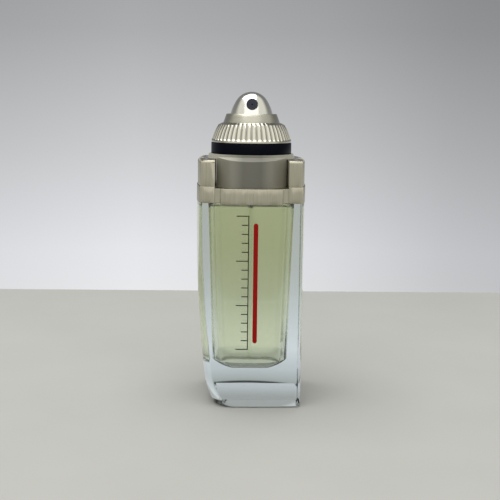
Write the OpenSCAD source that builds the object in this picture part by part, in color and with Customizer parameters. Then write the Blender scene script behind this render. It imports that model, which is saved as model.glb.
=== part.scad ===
// Glass aftershave bottle with a brushed metal frame, a twist collar and a press-down spray button.
// The origin is on the table under the spray button. +Z is up and the spray opening faces -Y.

/* [Glass body] */
// Half width of the body across its waist
body_half_w = 24.7; // [23.5:0.1:25.5]
// Half depth of the body from its middle to its front face
body_half_d = 22.9; // [22:0.1:24]
// Radius of the bowed left and right flanks
flank_r = 122; // [110:1:140]
// Radius of the nearly flat front and back faces
face_r = 300; // [260:5:400]
// Height of the glass up to the metal trim band
glass_h = 92.8; // [88:0.2:98]
// Radius round the bottom edge of the glass
base_edge_r = 2.2; // [1:0.1:3]
// Thickness of the solid glass floor
floor_t = 16.6; // [14:0.1:20]
// Thickness of the glass at the flanks
flank_wall = 6.9; // [6:0.1:8]
// Thickness of the glass at the front and the back
face_wall = 3.5; // [3:0.1:4.5]
// Radius of the upright corners of the fragrance chamber
chamber_r = 9; // [8.6:0.1:11]
// Radius round the bottom of the fragrance chamber
chamber_floor_r = 7.5; // [5:0.1:8.5]
// Radius round the top of the fragrance chamber
chamber_top_r = 4; // [2.5:0.1:5]
// Gap between the top of the chamber and the top of the glass shoulder
chamber_roof = 3.1; // [2.8:0.1:4]
// Air gap between the fragrance and the roof of its chamber
fill_gap = 0.3; // [0.2:0.1:18]

/* [Leaning flank] */
// Radius of the long curve that leads the left flank in
lean_long_r = 800; // [600:10:1000]
// Radius of the tighter curve next to the base
lean_base_r = 44; // [40:1:60]
// Height where the tighter curve takes over
lean_base_h = 15; // [12:0.5:18]
// Distance outside the bowed flank at which the lean starts, at the top of the glass
lean_start = 0.15; // [0.1:0.05:0.5]
// Turn of the leaning flank about the upright axis, in degrees
lean_turn = 8; // [4:0.5:10]
// Radius of the front left corner at the table
lean_corner_r = 8.5; // [7:0.1:10]

/* [Shoulder and neck] */
// Step from the outside of the glass in to the shoulder
shoulder_in = 1.5; // [1.2:0.1:2.2]
// Height of the shoulder above the body
shoulder_h = 4.8; // [4.4:0.1:5.1]
// Radius of the glass neck
neck_r = 7; // [6.6:0.1:7.2]
// Height of the neck above the shoulder
neck_h = 8.4; // [8:0.1:9]
// Radius of the crimping bead round the neck
bead_r = 7.6; // [7.4:0.1:7.8]
// Height of the crimping bead
bead_h = 3.4; // [3:0.1:4]
// Radius of the bore through the neck
neck_bore_r = 4.9; // [4.7:0.05:5.2]

/* [Trim band] */
// Height of the trim band
band_h = 7.2; // [6.4:0.1:8]
// Drop of the raised middle plates below the band
plate_drop = 0.55; // [0.3:0.05:0.9]
// Half width of the raised middle plates
plate_half_w = 13.7; // [12:0.1:15]
// Radius of the curved front of the middle plates
plate_r = 60; // [50:1:80]
// How far the middle plates stand proud of the glass
plate_proud = 1.3; // [1.1:0.1:1.8]
// Depth of the grooves beside the middle plates
groove_depth = 0.9; // [0.5:0.1:1.4]
// Depth of the channel that locates the collar
channel_depth = 0.9; // [0.5:0.1:1.4]
// Radius of the hole in the band round the neck
band_hole_r = 9; // [8.7:0.1:10]

/* [Cheeks and collar] */
// Height of the cheeks above the trim band
cheek_h = 11.5; // [10:0.1:13]
// Step in from the flanks of the band to the flanks of the cheeks
cheek_in = 0.4; // [0.1:0.1:0.8]
// Radius round the upper edges of the cheeks
cheek_edge_r = 1.2; // [0.6:0.1:2]
// Half width of the collar between the cheeks
collar_half_w = 15.75; // [15:0.05:16.2]
// Shadow gap between the collar and each cheek
collar_gap = 0.5; // [0.35:0.05:0.8]
// Reach of the collar to the front and to the back
collar_reach = 21.4; // [20.8:0.1:21.8]
// Radius of the curved front of the collar
collar_front_r = 17.6; // [17:0.1:18.6]
// Radius of the collar shelf that lies over the cheeks
shelf_r = 19.8; // [19.4:0.1:20.4]
// Radius of the top of the collar shelf
shelf_top_r = 19.3; // [18.9:0.1:19.4]
// Height of the collar shelf
shelf_h = 2; // [1.6:0.1:2.6]
// Air gap between the cheeks and the shelf
shelf_gap = 0.1; // [0.05:0.05:0.3]
// Slope of the bevel round the top of the collar, in degrees
bevel_slope = 43; // [35:1:50]
// Radius of the chamber inside the collar
collar_bore_r = 14.9; // [14.5:0.1:15.2]
// Radius of the dowels that hold the cheeks
dowel_r = 1.25; // [1:0.05:1.6]
// Length of the dowels
dowel_l = 5; // [4:0.2:7]
// Depth of the dowels in the trim band
dowel_sink = 1.9; // [1.5:0.1:2]
// Distance of the dowels from the middle, left and right
dowel_x = 20; // [19.4:0.1:20.6]
// Distance of the dowels from the middle, front and back
dowel_y = 16.5; // [12:0.5:17.5]

/* [Lacquered ring] */
// Radius of the dark lacquered ring
ring_r = 18.3; // [17.8:0.1:18.7]
// Height of the dark lacquered ring
ring_h = 4.9; // [4.2:0.1:5.6]

/* [Fluted crown] */
// Height of the fluted crown
crown_h = 8.9; // [8.4:0.1:9.6]
// Radius of the plain rim at the foot of the crown
crown_foot_r = 18.2; // [17.6:0.1:18.6]
// Height of the plain rim at the foot of the crown
crown_rim_h = 0.8; // [0.5:0.1:1.2]
// Radius where the curved wall of the crown meets its top bevel
crown_head_r = 15; // [14.6:0.1:15.6]
// Radius of the curved wall of the crown in side view
crown_wall_r = 28; // [20:0.5:40]
// Radius of the top of the crown inside its bevel
crown_top_r = 13.3; // [13:0.1:14]
// Height of the bevel round the top of the crown
crown_bevel_h = 0.9; // [0.5:0.1:1.3]
// Number of flutes round the crown
flute_count = 50; // [40:1:54]
// Turn of the ribs away from the front, in degrees
flute_lead = 1.3; // [0:0.1:7]
// Radius of each flute
flute_r = 0.95; // [0.7:0.05:1]
// Depth of each flute at its rounded foot
flute_foot_depth = 0.5; // [0.3:0.05:0.6]
// Depth of each flute under the top bevel
flute_head_depth = 0.25; // [0.1:0.05:0.4]
// Height of the centre of the rounded foot of each flute
flute_foot_h = 1.7; // [1.6:0.1:2.2]
// Least wall between the flutes and the inside of the crown
crown_wall = 0.9; // [0.7:0.1:1.2]
// Thickness of the roof of the crown
crown_roof_t = 1.1; // [1:0.1:1.4]
// Gap under the crown
crown_gap = 0.1; // [0.05:0.05:0.3]
// Twist of the crown between locked and open, in degrees
crown_twist = 60; // [30:5:90]

/* [Cone ring] */
// Radius of the foot of the cone ring
cone_foot_r = 12.9; // [12.4:0.1:13.1]
// Radius of the top of the cone ring
cone_top_r = 11.5; // [11.3:0.1:11.8]
// Height of the whole cone ring
cone_h = 4; // [3.6:0.1:4.6]
// Bevel round the top of the cone ring
cone_edge = 0.25; // [0.1:0.05:0.4]
// Thickness of the lip at the top of the cone ring
cone_lip_h = 1.4; // [1:0.1:1.8]
// Wall of the cone ring round the neck of the liner
cone_wall = 0.4; // [0.3:0.05:0.5]

/* [Spray button] */
// Radius of the button where it leaves the cone ring
button_r = 9.65; // [9.4:0.05:9.8]
// Height of the button above the cone ring
button_h = 9.9; // [9.4:0.1:10.4]
// Radius of the bullet-shaped wall of the button in side view
button_wall_r = 22; // [18:0.5:40]
// Radius of the rounded tip of the button
button_tip_r = 8.2; // [7.8:0.1:8.6]
// Thickness of the metal shell of the button
button_t = 1; // [0.8:0.1:1.3]
// Length of the button skirt inside the cone ring
skirt_l = 6.6; // [6:0.1:7]
// Travel of the button
stroke = 2.6; // [2:0.1:3]
// Height of the spray opening above the cone ring
spray_h = 4.2; // [3.9:0.1:4.6]
// Radius of the spray opening
spray_r = 2.65; // [2.3:0.05:2.9]
// Radius of the head of the nozzle insert
nozzle_r = 2.5; // [2.2:0.05:2.6]
// Distance from the axis to the face of the nozzle insert
nozzle_face = 7.7; // [7.2:0.1:8]
// Length of the nozzle insert
nozzle_l = 2.7; // [2.2:0.1:3]
// Length of the head of the nozzle insert
nozzle_head_l = 1; // [0.8:0.1:1.2]
// Step from the head in to the shank of the nozzle insert
nozzle_step = 0.5; // [0.3:0.1:0.7]
// Radius of the dish round the spray hole
dish_r = 1.2; // [0.8:0.1:1.6]
// Depth of the dish round the spray hole
dish_depth = 0.35; // [0.2:0.05:0.5]
// Height of the actuator core above the spray opening
core_rise = 0.6; // [0.4:0.1:1]
// Radius of the spray hole
orifice_r = 0.3; // [0.15:0.05:0.4]

/* [Pump] */
// Radius of the pump housing in the neck
housing_r = 4.5; // [4.3:0.05:4.6]
// Radius of the pump cylinder
cylinder_r = 3.05; // [2.9:0.05:3.2]
// Length of the pump housing below the neck
housing_l = 13.4; // [12.6:0.2:14.4]
// Thickness of the housing floor with its valve seat
housing_floor = 2.6; // [2.4:0.1:3]
// Length of the tube spigot under the housing
spigot_l = 3; // [2.6:0.1:4]
// Radius of the tube spigot
spigot_r = 2.2; // [2:0.05:2.4]
// Radius of the flange on top of the neck
flange_r = 7.4; // [7.1:0.1:7.5]
// Thickness of the flange
flange_t = 1; // [0.8:0.1:1.2]
// Thickness of the neck gasket
gasket_t = 0.6; // [0.4:0.1:0.8]
// Outside radius of the dip tube
tube_r = 1.3; // [1.1:0.05:1.4]
// Bore radius of the dip tube
tube_bore_r = 0.8; // [0.6:0.05:0.9]
// Gap between the dip tube and the chamber floor
tube_foot_gap = 1.6; // [1:0.1:3]
// Depth of the dip tube in the floor of the housing
tube_sink = 0.5; // [0.3:0.1:0.7]
// Radius of the pump stem
stem_r = 1.4; // [1.3:0.05:1.5]
// Radius of the channel in the stem
stem_bore_r = 0.6; // [0.4:0.05:0.7]
// Depth of the stem in the actuator
stem_grip = 5.2; // [4.8:0.1:5.6]
// Gap between the top of the stem and the foot of the button's dome
stem_drop = 1; // [0.6:0.1:1.4]
// Length of the piston
piston_l = 2.4; // [2:0.1:2.8]
// Thickness of the piston under the stem
piston_floor = 0.5; // [0.3:0.1:0.8]
// Length of the closure that guides the stem
closure_l = 3.2; // [3:0.1:3.6]
// Radius of the inlet hole through the stem
inlet_r = 0.4; // [0.3:0.05:0.5]
// Coil radius of the pump spring to the middle of its wire
spring_r = 2.1; // [1.9:0.05:2.2]
// Radius of the spring wire
spring_wire_r = 0.25; // [0.2:0.05:0.3]
// Number of coils in the pump spring
spring_coils = 5; // [4:1:6]
// Radius of the check ball
ball_r = 1; // [0.9:0.05:1.1]
// Wall of the crimped ferrule
ferrule_t = 0.4; // [0.3:0.05:0.6]
// Length of the crimp under the bead
crimp_l = 1; // [0.8:0.1:1.4]

/* [Inner carrier] */
// Outside radius of the plastic carrier sleeve
carrier_r = 12.5; // [12.2:0.1:12.6]
// Radius of the foot of the carrier
carrier_foot_r = 14.7; // [14.2:0.1:14.8]
// Thickness of the foot of the carrier
carrier_foot_t = 2; // [1.6:0.1:2.4]
// Height of the carrier sleeve above the foot of the crown
carrier_rise = 7; // [6.6:0.1:7.2]
// Thickness of the carrier web over the ferrule
web_t = 1.2; // [1:0.1:1.6]
// Thickness of the retaining ring
clip_t = 1; // [0.8:0.1:1.2]
// Height of the retaining ring above the foot of the crown
clip_h = 4; // [3.6:0.1:4.2]
// Outside radius of the retaining ring
clip_r = 13.3; // [13:0.1:13.4]
// Depth of the retaining ring in the carrier
clip_bite = 0.75; // [0.6:0.05:0.9]
// Opening of the retaining ring at the front, in degrees
clip_mouth = 30; // [20:5:60]
// Reach of the stop lug on the carrier
stop_reach = 0.9; // [0.7:0.1:1]
// Width of the stop lug, in degrees
stop_angle = 12; // [8:1:16]
// Height of the stop lug
stop_h = 1.1; // [0.9:0.1:1.3]
// Height of the stop lug above the foot of the crown
stop_lift = 0.2; // [0.1:0.1:0.4]
// Play at each end of the stop slot, in degrees
stop_play = 0.5; // [0.2:0.1:1]

/* [Printed scale] */
// Thickness of the printed ink
ink_t = 0.12; // [0.08:0.02:0.2]
// Gap between the glass floor and the foot of the printed scale
scale_foot_gap = 10.4; // [6:0.2:16]
// Gap between the printed scale and the middle plate of the band
scale_head_gap = 4.85; // [3:0.05:8]
// Number of steps on the printed scale
scale_steps = 15; // [10:1:20]
// Steps from one long mark to the next
scale_group = 5; // [2:1:8]
// Length of the long marks
mark_long = 5.2; // [4:0.1:7]
// Length of the short marks
mark_short = 2.8; // [1.5:0.1:3.5]
// Width of the black rule
rule_w = 0.4; // [0.3:0.05:0.6]
// Place of the black rule left of the middle
rule_x = 1; // [0:0.1:3]
// Place of the red bar right of the rule
bar_x = 3; // [2:0.1:5]
// Width of the red bar
bar_w = 2; // [1.2:0.1:2.6]

/* [Fits] */
// Gap for parts that slide or turn on each other
running_gap = 0.05; // [0.03:0.01:0.1]
// Gap for parts that only pass each other
clear_gap = 0.1; // [0.08:0.01:0.2]

/* [Hidden] */
$fn = 96;
arc_fn = 360;
ink_fn = 1440;
// Overlap of joined forms, run of a cut past the face it opens, and the size of a half space
eps = 0.01;
cut = 1;
big = 200;
// Levels along the upright axis
shoulder_z = glass_h + shoulder_h;
neck_z = shoulder_z + neck_h;
band_z = glass_h + band_h;
channel_z = band_z - channel_depth;
cheek_z = band_z + cheek_h;
shelf_z = cheek_z + shelf_gap;
collar_z = shelf_z + shelf_h;
ring_z = collar_z + ring_h;
crown_z = ring_z + crown_gap;
cone_z = crown_z + crown_h;
button_z = cone_z + cone_h;
chamber_z = shoulder_z - chamber_roof;
fill_z = chamber_z - fill_gap;
// Fragrance chamber
chamber_half_w = body_half_w - flank_wall;
chamber_half_d = body_half_d - face_wall;
// Leaning flank: its two curves meet at one tangent
lean_reach = flank_r - (flank_r - body_half_w) * cos(lean_turn) + lean_start;
lean_a = asin((glass_h - lean_base_h) / lean_long_r);
lean_tx = lean_reach - lean_long_r * (1 - cos(lean_a));
lean_cx = lean_tx - lean_base_r * cos(lean_a);
lean_cz = lean_base_h + lean_base_r * sin(lean_a);
lean_foot = lean_cx + sqrt(lean_base_r ^ 2 - lean_cz ^ 2);
lean_in = lean_reach - lean_foot;
foot_x = lean_cx + sqrt((lean_base_r - base_edge_r) ^ 2 - (lean_cz - base_edge_r) ^ 2);
foot_a = atan2(lean_cz - base_edge_r, foot_x - lean_cx);
corner_steps = 4;
corner_y = -(body_half_d - lean_corner_r);
corner_reach = lean_corner_r + lean_in;
corner_x = -(lean_reach - corner_reach + corner_y * sin(lean_turn)) / cos(lean_turn);
// Pump and carrier
gasket_z = neck_z + gasket_t;
flange_z = gasket_z + flange_t;
ferrule_z = flange_z + ferrule_t;
ferrule_r = bead_r + ferrule_t;
housing_z = neck_z - housing_l;
piston_z = flange_z - closure_l - clear_gap - piston_l;
spring_z = housing_z + housing_floor;
stem_z = button_z - stem_drop;
stem_pass_r = stem_r + 1;
seat_h = 1.6 * ball_r;
seat_r = 1.5 * ball_r;
web_z = ferrule_z + clear_gap;
guide_r = button_r + running_gap;
liner_bore_r = carrier_r + running_gap;
liner_neck_r = cone_top_r - cone_wall;
carrier_z = crown_z + carrier_rise;
clip_z = crown_z + clip_h;
crown_inner_foot_r = crown_foot_r - flute_foot_depth - crown_wall;
crown_inner_head_r = crown_head_r - flute_head_depth - crown_wall;
crown_roof_z = cone_z - crown_roof_t;
// Printed scale
scale_z = floor_t + scale_foot_gap;
scale_step = (glass_h - plate_drop - scale_head_gap - rule_w - scale_z) / scale_steps;

// A disc with rounded edges, used where the outside of the body bows
module coin(r, h, foot = 0, head = 0) {
    rotate_extrude($fn = arc_fn)
        difference() {
            square([r, h]);
            if (foot > 0)
                translate([r - foot, 0]) difference() {
                    translate([0, -eps]) square([foot + eps, foot + eps]);
                    translate([0, foot]) circle(foot);
                }
            if (head > 0)
                translate([r - head, h - head]) difference() {
                    square([head + eps, head + eps]);
                    circle(head);
                }
        }
}

// The bowed four-sided block that the glass, the band and the cheeks share
module bowed_solid(h, inset = 0, foot = 0, head = 0) {
    intersection() {
        translate([flank_r - body_half_w, 0, 0]) coin(flank_r - inset, h, foot, head);
        translate([body_half_w - flank_r, 0, 0]) coin(flank_r - inset, h, foot, head);
        translate([0, face_r - body_half_d, 0]) coin(face_r - inset, h, foot, head);
        translate([0, body_half_d - face_r, 0]) coin(face_r - inset, h, foot, head);
    }
}

// Points along an arc round c, from one angle below the horizontal to another, without the start
function arc_points(c, r, from, to, n) = [
    for (i = [1 : n]) let (a = from + (to - from) * i / n) c + r * [cos(a), -sin(a)]
];

// Side view of the leaning flank: two tangent curves and the rounded foot.
// Its outer edge stands at the given reach from the line that it is turned about.
module leaning_profile(reach) {
    translate([reach - lean_reach, 0]) polygon(concat(
        [[-big, glass_h + cut], [lean_reach, glass_h + cut], [lean_reach, glass_h]],
        arc_points([lean_reach - lean_long_r, glass_h], lean_long_r, 0, lean_a, 4),
        arc_points([lean_cx, lean_cz], lean_base_r, lean_a, foot_a, 6),
        arc_points([foot_x, base_edge_r], base_edge_r, foot_a, 90, 3),
        [[foot_x, -cut], [-big, -cut]]
    ));
}

// Room inside the leaning flank. Its copies turn from the flank to the front and round the corner.
module leaning_room() {
    intersection_for (k = [0 : corner_steps - 1])
        translate([corner_x, corner_y, 0])
            rotate([90, 0, lean_turn + (90 - lean_turn) * k / corner_steps])
            translate([0, 0, -big / 2])
            linear_extrude(big)
            mirror([1, 0])
            leaning_profile(corner_reach);
}

// A room with rounded upright corners, a rounded floor and a rounded roof
module rounded_side(w, h) {
    rf = chamber_floor_r;
    rt = chamber_top_r;
    translate([0, rf]) square([w, h - rf - rt]);
    square([w - rf, rf + eps]);
    translate([0, h - rt - eps]) square([w - rt, rt + eps]);
    intersection() {
        union() {
            translate([w - rf, rf]) circle(rf);
            translate([w - rt, h - rt]) circle(rt);
        }
        square([w, h]);
    }
}

module chamber(h) {
    cw = chamber_half_w - chamber_r;
    cd = chamber_half_d - chamber_r;
    for (sx = [-1, 1], sy = [-1, 1])
        translate([sx * cw, sy * cd, 0]) rotate_extrude() rounded_side(chamber_r, h);
    for (s = [0, 1]) {
        mirror([s, 0, 0]) rotate([90, 0, 0])
            translate([0, 0, -cd]) linear_extrude(2 * cd) rounded_side(chamber_half_w, h);
        mirror([0, s, 0]) rotate([90, 0, 90])
            translate([0, 0, -cw]) linear_extrude(2 * cw) rounded_side(chamber_half_d, h);
    }
}

module ring(r_out, r_in, h) {
    difference() {
        cylinder(r = r_out, h = h);
        translate([0, 0, -cut]) cylinder(r = r_in, h = h + 2 * cut);
    }
}

module glass_bottle() {
    color([0.80, 0.86, 0.87, 0.35])
    difference() {
        union() {
            intersection() {
                bowed_solid(glass_h, foot = base_edge_r);
                leaning_room();
            }
            translate([0, 0, glass_h - eps]) bowed_solid(shoulder_h + eps, inset = shoulder_in);
            translate([0, 0, shoulder_z - eps]) cylinder(r = neck_r, h = neck_h + eps);
            translate([0, 0, neck_z - bead_h]) cylinder(r = bead_r, h = bead_h);
        }
        translate([0, 0, floor_t]) chamber(chamber_z - floor_t);
        translate([0, 0, chamber_z - cut]) cylinder(r = neck_bore_r, h = big);
    }
}

module fragrance_fill() {
    color([0.74, 0.79, 0.55, 0.6])
    difference() {
        intersection() {
            translate([0, 0, floor_t]) chamber(chamber_z - floor_t);
            translate([-big / 2, -big / 2, 0]) cube([big, big, fill_z]);
        }
        cylinder(r = tube_r, h = big);
        translate([0, 0, housing_z - spigot_l]) cylinder(r = spigot_r, h = big);
        translate([0, 0, housing_z]) cylinder(r = housing_r, h = big);
    }
}

// The front plate of the band, and the back plate when turned half round
module band_plate() {
    intersection() {
        translate([0, plate_r - body_half_d - plate_proud, glass_h - plate_drop])
            cylinder(r = plate_r, h = band_h, $fn = arc_fn);
        translate([-plate_half_w, -big, 0])
            cube([2 * plate_half_w, big - body_half_d + 2 * shoulder_in, channel_z]);
    }
}

module trim_band() {
    groove_w = collar_half_w + collar_gap - plate_half_w;
    color([0.60, 0.58, 0.50])
    difference() {
        union() {
            difference() {
                translate([0, 0, glass_h]) bowed_solid(band_h);
                for (sx = [-1, 1], sy = [-1, 1])
                    translate([
                        sx * (plate_half_w + groove_w / 2),
                        sy * (body_half_d - groove_depth + big / 2),
                        band_z
                    ])
                        cube([groove_w, big, 4 * band_h], center = true);
            }
            band_plate();
            rotate([0, 0, 180]) band_plate();
        }
        bowed_solid(glass_h);
        translate([0, 0, glass_h - cut]) bowed_solid(shoulder_h + cut, inset = shoulder_in);
        translate([-collar_half_w - collar_gap, -big / 2, channel_z])
            cube([2 * (collar_half_w + collar_gap), big, band_h]);
        cylinder(r = band_hole_r, h = big);
        dowels();
    }
}

module dowels() {
    for (sx = [-1, 1], sy = [-1, 1])
        translate([sx * dowel_x, sy * dowel_y, band_z - dowel_sink])
            cylinder(r = dowel_r, h = dowel_l);
}

module cheek_dowels() {
    color([0.72, 0.72, 0.70]) dowels();
}

// One cheek of the frame; side is -1 for the left and 1 for the right
module cheek(side) {
    color([0.62, 0.60, 0.52])
    difference() {
        intersection() {
            translate([0, 0, band_z]) bowed_solid(cheek_h, inset = cheek_in, head = cheek_edge_r);
            translate([side * (collar_half_w + collar_gap + big / 2), 0, 0])
                cube([big, big, 2 * big], center = true);
        }
        dowels();
    }
}

module cheek_left() { cheek(-1); }

module cheek_right() { cheek(1); }

module collar_block() {
    bevel_top_r = ring_r + clear_gap;
    bevel_h = cheek_h;
    intersection() {
        translate([0, 0, channel_z]) linear_extrude(collar_z - channel_z)
            intersection() {
                union() {
                    for (s = [-1, 1])
                        translate([0, s * (collar_reach - collar_front_r)])
                            circle(collar_front_r, $fn = 180);
                }
                square([2 * collar_half_w, big], center = true);
            }
        union() {
            translate([0, 0, collar_z - bevel_h])
                cylinder(r1 = bevel_top_r + bevel_h / tan(bevel_slope), r2 = bevel_top_r, h = bevel_h);
            cylinder(r = big / 2, h = collar_z - bevel_h + eps);
        }
    }
}

module collar() {
    color([0.50, 0.49, 0.44])
    difference() {
        union() {
            collar_block();
            translate([0, 0, shelf_z]) cylinder(r1 = shelf_r, r2 = shelf_top_r, h = shelf_h);
        }
        translate([0, 0, channel_z - cut])
            cylinder(r = collar_bore_r, h = shelf_z - channel_z + cut);
        cylinder(r = carrier_r + clear_gap, h = big);
    }
}

module lacquered_ring() {
    color([0.04, 0.06, 0.10])
    translate([0, 0, collar_z]) ring(ring_r, carrier_r + clear_gap, ring_h);
}

module inner_carrier() {
    color([0.85, 0.85, 0.83])
    difference() {
        union() {
            translate([0, 0, channel_z]) cylinder(r = carrier_foot_r, h = carrier_foot_t);
            translate([0, 0, channel_z]) cylinder(r = carrier_r, h = carrier_z - channel_z);
            translate([0, 0, crown_z + stop_lift])
                rotate([0, 0, -stop_angle / 2])
                rotate_extrude(angle = stop_angle)
                translate([carrier_r - cut, 0]) square([cut + stop_reach, stop_h]);
        }
        translate([0, 0, channel_z - cut]) cylinder(r = ferrule_r, h = web_z - channel_z + cut);
        translate([0, 0, web_z + web_t]) cylinder(r = guide_r, h = big);
        cylinder(r = stem_pass_r, h = big);
        translate([0, 0, clip_z]) difference() {
            cylinder(r = carrier_r + cut, h = clip_t);
            translate([0, 0, -cut]) cylinder(r = carrier_r - clip_bite, h = clip_t + 2 * cut);
        }
    }
}

module retaining_ring() {
    clip_in_r = carrier_r - clip_bite;
    color([0.66, 0.66, 0.66])
    translate([0, 0, clip_z + clear_gap / 2])
        rotate([0, 0, clip_mouth / 2 - 90])
        rotate_extrude(angle = 360 - clip_mouth)
        translate([clip_in_r, 0])
        square([clip_r - clip_in_r, clip_t - clear_gap]);
}

module crimp_ferrule() {
    crimp_z = neck_z - bead_h - crimp_l;
    color([0.80, 0.80, 0.80])
    difference() {
        translate([0, 0, crimp_z]) cylinder(r = ferrule_r, h = ferrule_z - crimp_z);
        translate([0, 0, crimp_z + crimp_l])
            cylinder(r = bead_r, h = flange_z - crimp_z - crimp_l);
        translate([0, 0, crimp_z - cut]) cylinder(r = neck_r + running_gap, h = crimp_l + 2 * cut);
        cylinder(r = stem_pass_r, h = big);
    }
}

module neck_gasket() {
    color([0.25, 0.25, 0.25])
    translate([0, 0, neck_z]) ring(flange_r, housing_r, gasket_t);
}

module pump_housing() {
    color([0.90, 0.91, 0.90])
    difference() {
        union() {
            translate([0, 0, housing_z]) cylinder(r = housing_r, h = flange_z - housing_z);
            translate([0, 0, gasket_z]) cylinder(r = flange_r, h = flange_t);
            translate([0, 0, housing_z - spigot_l]) cylinder(r = spigot_r, h = spigot_l + eps);
        }
        translate([0, 0, spring_z]) cylinder(r = cylinder_r, h = big);
        translate([0, 0, housing_z - spigot_l - cut])
            cylinder(r = tube_r, h = spigot_l + tube_sink + cut);
        translate([0, 0, housing_z]) cylinder(r = tube_bore_r, h = housing_floor - seat_h / 2);
        translate([0, 0, spring_z - seat_h])
            cylinder(r1 = tube_bore_r, r2 = seat_r, h = seat_h + eps);
    }
}

module pump_closure() {
    color([0.80, 0.82, 0.84])
    translate([0, 0, flange_z - closure_l]) ring(cylinder_r, stem_r + running_gap, closure_l);
}

module check_ball() {
    seat_slope = atan((seat_r - tube_bore_r) / seat_h);
    seat_lift = (ball_r / cos(seat_slope) - tube_bore_r) / tan(seat_slope);
    color([0.78, 0.78, 0.78])
    translate([0, 0, spring_z - seat_h + seat_lift + 2 * eps]) sphere(r = ball_r);
}

module dip_tube() {
    tube_z = floor_t + tube_foot_gap;
    color([0.88, 0.90, 0.88])
    translate([0, 0, tube_z]) ring(tube_r, tube_bore_r, housing_z + tube_sink - tube_z);
}

// A point on the wire of the pump spring: k is its place along the helix, a its angle round the wire
function coil_point(k, a, rise) = [
    (spring_r + spring_wire_r * cos(a)) * cos(360 * spring_coils * k),
    (spring_r + spring_wire_r * cos(a)) * sin(360 * spring_coils * k),
    rise * k + spring_wire_r * sin(a)
];

// Pump spring, seated between the valve seat and the piston
module pump_spring() {
    sides = 8;
    rings = 16 * spring_coils;
    rise = piston_z - spring_z - 2 * spring_wire_r;
    points = [
        for (i = [0 : rings], j = [0 : sides - 1]) coil_point(i / rings, 360 * j / sides, rise)
    ];
    walls = [
        for (i = [0 : rings - 1], j = [0 : sides - 1])
            let (a = i * sides, b = a + sides, n = (j + 1) % sides)
            [a + n, a + j, b + j, b + n]
    ];
    ends = [
        [for (j = [0 : sides - 1]) j],
        [for (j = [sides - 1 : -1 : 0]) rings * sides + j]
    ];
    color([0.75, 0.75, 0.75])
    translate([0, 0, spring_z + spring_wire_r]) polyhedron(points, concat(walls, ends));
}

// Inside of the crown, filled by the liner
module crown_core() {
    translate([0, 0, crown_z])
        cylinder(r1 = crown_inner_foot_r, r2 = crown_inner_head_r, h = crown_roof_z - crown_z);
}

module crown_liner() {
    slot = crown_twist + stop_angle + 2 * stop_play;
    color([0.88, 0.88, 0.86])
    difference() {
        union() {
            crown_core();
            translate([0, 0, crown_z]) cylinder(r = liner_neck_r, h = button_z - cone_lip_h - crown_z);
        }
        translate([0, 0, crown_z - cut])
            cylinder(r = liner_bore_r, h = carrier_z + clear_gap - crown_z + cut);
        cylinder(r = guide_r + clear_gap, h = big);
        translate([0, 0, clip_z - clear_gap / 2])
            cylinder(r = clip_r + clear_gap, h = clip_t + clear_gap);
        translate([0, 0, crown_z - cut])
            rotate([0, 0, -stop_angle / 2 - crown_twist - stop_play])
            rotate_extrude(angle = slot)
            translate([carrier_r - cut, 0])
            square([cut + stop_reach + clear_gap, cut + stop_lift + stop_h + clear_gap]);
    }
}

// Centre and points of the bowed wall of the crown in side view
crown_p = [crown_foot_r, crown_rim_h];
crown_q = [crown_head_r, crown_h - crown_bevel_h];
crown_chord = norm(crown_q - crown_p);
crown_n = [crown_q[1] - crown_p[1], crown_p[0] - crown_q[0]] / crown_chord;
crown_c = (crown_p + crown_q) / 2 - crown_n * sqrt(crown_wall_r ^ 2 - crown_chord ^ 2 / 4);

module crown_side() {
    intersection() {
        translate(crown_c) circle(crown_wall_r, $fn = arc_fn);
        translate([0, crown_rim_h]) square([big, crown_q[1] - crown_rim_h]);
        square([big, big]);
    }
    square([crown_foot_r, crown_rim_h]);
    polygon([
        [0, crown_q[1] - eps], [crown_head_r, crown_q[1] - eps], [crown_head_r, crown_q[1]],
        [crown_top_r, crown_h], [0, crown_h]
    ]);
}

module flutes() {
    foot_x = crown_foot_r - flute_foot_depth + flute_r;
    head_x = crown_head_r - flute_head_depth + flute_r;
    head_h = crown_h - crown_bevel_h;
    slope = atan((foot_x - head_x) / (head_h - crown_rim_h));
    for (i = [0 : flute_count - 1])
        rotate([0, 0, 360 * i / flute_count - flute_lead])
            translate([foot_x - (flute_foot_h - crown_rim_h) * tan(slope), 0, flute_foot_h])
            rotate([0, -slope, 0])
            rotate_extrude($fn = 32) {
                square([flute_r, crown_h]);
                intersection() {
                    circle(flute_r);
                    translate([0, -flute_r]) square([flute_r, flute_r + eps]);
                }
            }
}

module fluted_crown() {
    color([0.78, 0.76, 0.68])
    difference() {
        translate([0, 0, crown_z]) difference() {
            rotate_extrude($fn = 180) crown_side();
            flutes();
        }
        crown_core();
        translate([0, 0, crown_z - cut]) cylinder(r = liner_neck_r, h = crown_h + 2 * cut);
    }
}

module cone_ring() {
    color([0.62, 0.60, 0.54])
    translate([0, 0, cone_z]) difference() {
        rotate_extrude() polygon([
            [0, 0], [cone_foot_r, 0], [cone_top_r, cone_h - cone_edge],
            [cone_top_r - cone_edge, cone_h], [0, cone_h]
        ]);
        translate([0, 0, -cut]) cylinder(r = liner_neck_r, h = cone_h - cone_lip_h + cut);
        translate([0, 0, -cut]) cylinder(r = guide_r, h = cone_h + 2 * cut);
    }
}

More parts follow.
